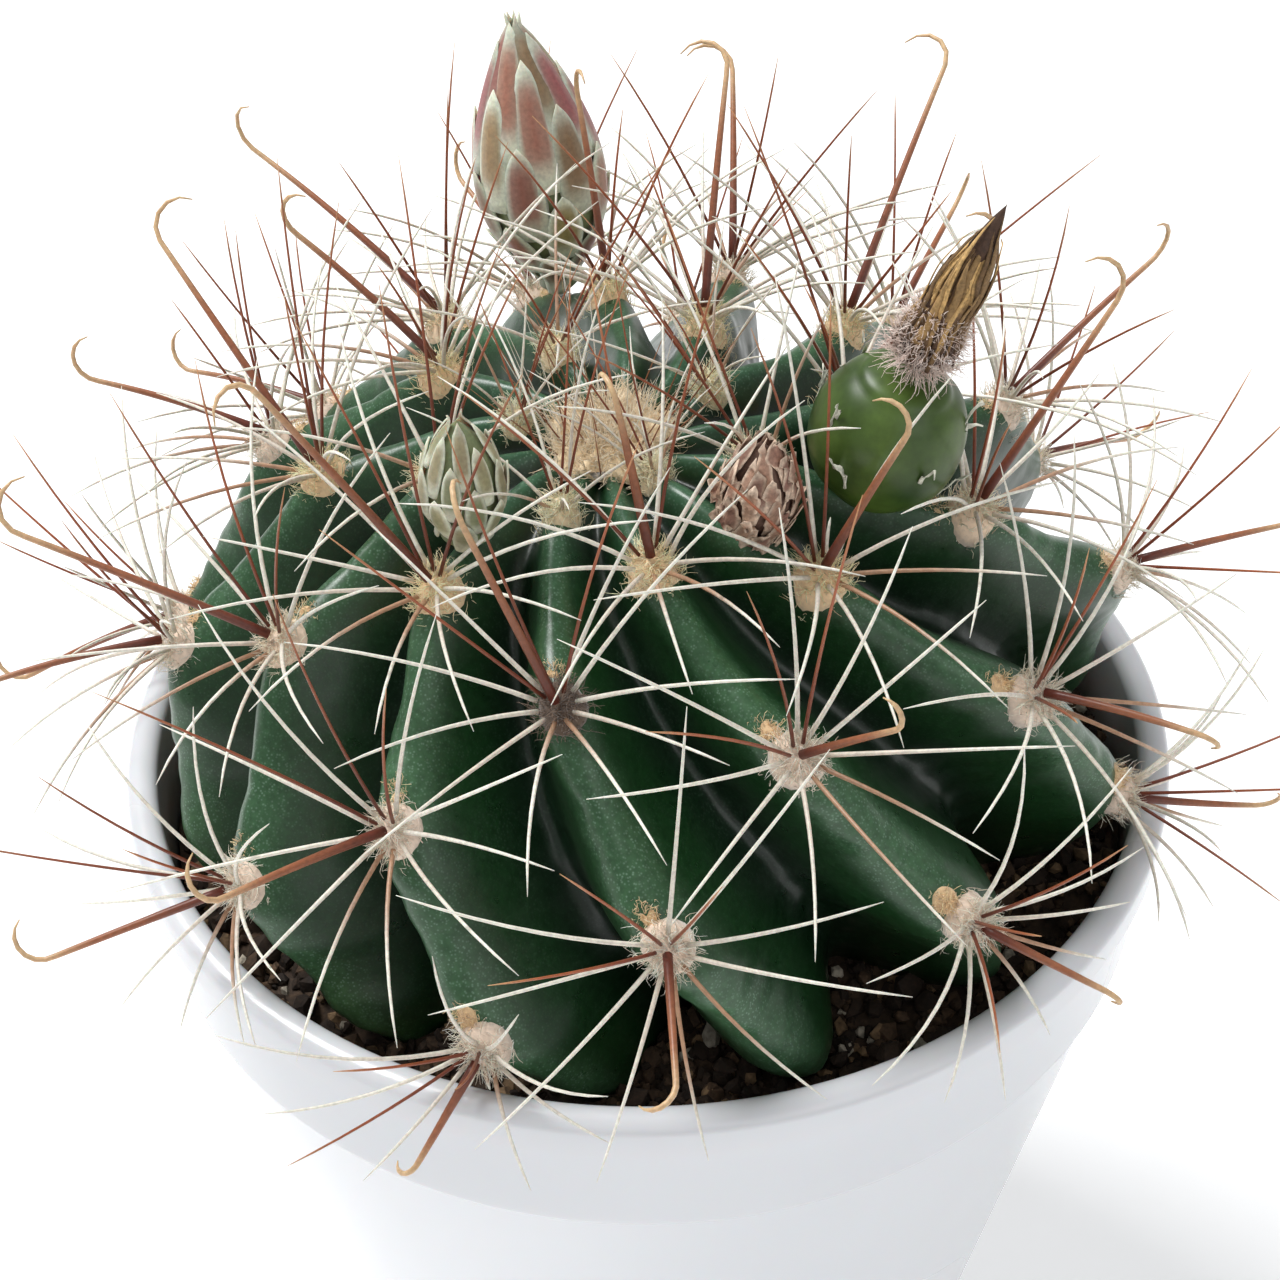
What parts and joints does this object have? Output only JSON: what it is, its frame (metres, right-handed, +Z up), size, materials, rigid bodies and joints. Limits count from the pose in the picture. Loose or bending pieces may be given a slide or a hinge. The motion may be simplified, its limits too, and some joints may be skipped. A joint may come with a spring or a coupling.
{
  "type": "potted round cactus",
  "caption": "Globular ribbed cactus with hooked spines, flower buds and a green fruit, growing in soil in a plain white tapered pot",
  "frame": {"origin": "centre of the pot's flat base, on the surface that the pot stands on", "axes": "+Z up along the pot's axis; the plant's front, with the side that the fruit and buds were seen from, faces -Y; +X to the right"},
  "size_m": [0.1129, 0.1119, 0.1364],
  "materials": {
    "pot_plastic": "smooth white, soft gloss",
    "soil": "dark damp potting grit",
    "stem_skin": "waxy deep green, paler glossy ridges",
    "felt": "cream to tan wool",
    "spines": "ivory, with red-brown centrals",
    "bud_scales": "olive and mauve scales with pale margins",
    "dried_papery": "dry, brown and golden, papery",
    "fruit_skin": "smooth green, soft gloss"
  },
  "bodies": {
    "root": {"pot": "pot_plastic", "soil": "soil", "stem": "stem_skin", "crown_wool": "felt", "flower_bud": "bud_scales", "green_bud": "bud_scales", "dried_bud": "dried_papery", "fruit": "fruit_skin", "dried_flower": "dried_papery", "areole_07": "spines", "areole_08": "spines", "areole_09": "spines", "areole_10": "spines", "areole_11": "spines", "areole_12": "spines", "areole_13": "spines", "areole_14": "spines", "areole_15": "spines", "areole_16": "spines", "areole_17": "spines", "areole_18": "spines", "areole_19": "spines", "areole_20": "spines", "areole_21": "spines", "areole_22": "spines", "areole_23": "spines", "areole_24": "spines", "areole_25": "spines", "areole_26": "spines", "areole_27": "spines", "areole_28": "spines", "areole_29": "spines", "areole_30": "spines", "areole_31": "spines", "areole_32": "spines", "areole_33": "spines", "areole_34": "spines", "areole_35": "spines", "areole_36": "spines", "areole_37": "spines", "areole_38": "spines", "areole_39": "spines", "areole_40": "spines", "areole_41": "spines", "areole_42": "spines", "areole_43": "spines", "areole_44": "spines", "areole_45": "spines", "areole_46": "spines"}
  },
  "joints": []
}
